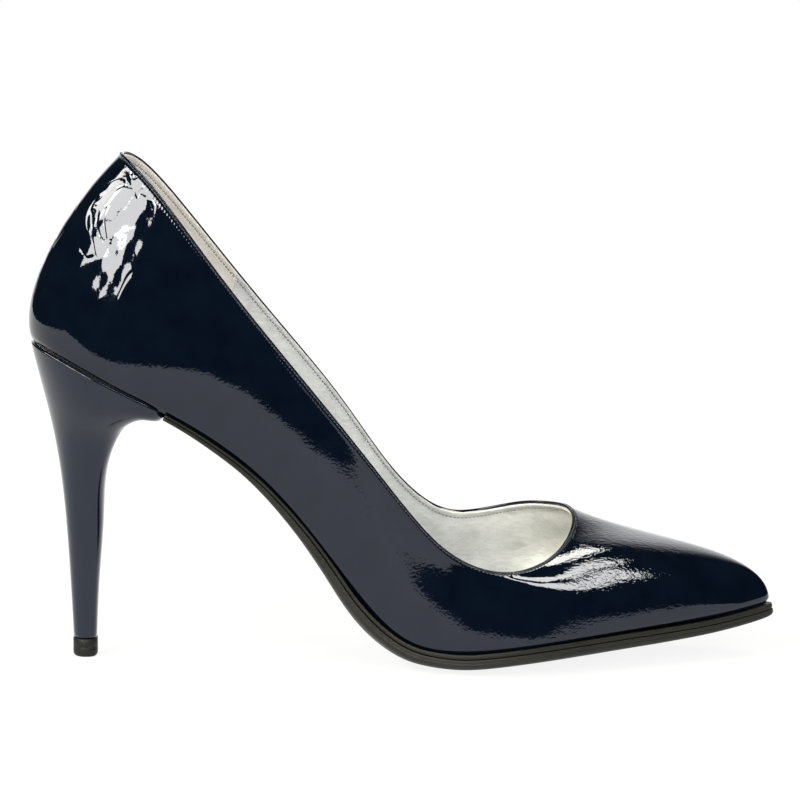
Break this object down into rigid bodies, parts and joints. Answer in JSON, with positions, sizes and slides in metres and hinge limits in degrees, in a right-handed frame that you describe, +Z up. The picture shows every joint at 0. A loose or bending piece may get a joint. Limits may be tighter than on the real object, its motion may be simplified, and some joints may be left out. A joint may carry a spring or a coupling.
{
  "type": "high heel pump",
  "caption": "Pointed-toe court shoe for the right foot with a slim wrapped stiletto heel, glossy navy upper, low-cut topline and silver leather lining.",
  "frame": {"origin": "centre of the shoe's bounding box, on the floor under it", "axes": "+X from the heel to the toe, +Y to the inner side of the foot, -Y to the outer side, +Z up"},
  "size_m": [0.239, 0.0747, 0.1638],
  "materials": {
    "patent_leather": "glossy patent, near-black navy, orange-peel ripple",
    "edge_tape": "woven nylon tape",
    "counter_board": "moulded thermoplastic counter sheet",
    "interlining_fabric": "brushed cotton backing",
    "puff_sheet": "impregnated toe puff sheet",
    "silver_lining": "metallic silver, fine crinkled grain",
    "heel_grip": "matte nubuck, beige grey",
    "sole_runner": "black painted edge, satin",
    "sole_leather": "black painted edge, polished underside",
    "cork": "granular cork",
    "fibre_board": "cellulose insole board",
    "shank_fibre": "dense shank board",
    "spring_steel": "blued spring steel",
    "foam": "latex foam padding",
    "heel_plastic": "injection moulded ABS",
    "heel_wrap": "satin navy, tightly wrapped",
    "tip_polyurethane": "matte black",
    "plain_steel": "drawn steel"
  },
  "bodies": {
    "root": {"upper": "patent_leather", "topline_tape": "edge_tape", "heel_counter": "counter_board", "interlining_outer": "interlining_fabric", "interlining_inner": "interlining_fabric", "toe_puff": "puff_sheet", "front_lining": "silver_lining", "sock_lining": "silver_lining", "heel_lining": "heel_grip", "midsole": "sole_runner", "outsole": "sole_leather", "forepart_filler": "cork", "insole_board": "fibre_board", "shank_board": "shank_fibre", "steel_shank": "spring_steel", "heel_pad": "foam", "forefoot_pad": "foam", "heel_core": "heel_plastic", "heel_cover": "heel_wrap", "top_piece": "tip_polyurethane", "heel_dowel": "plain_steel", "top_piece_pin": "plain_steel", "heel_screw": "plain_steel", "heel_nail_back": "plain_steel", "heel_nail_outer_rear": "plain_steel", "heel_nail_inner_rear": "plain_steel", "heel_nail_outer_front": "plain_steel", "heel_nail_inner_front": "plain_steel", "shank_rivet_rear": "plain_steel", "shank_rivet_front": "plain_steel"}
  },
  "joints": []
}
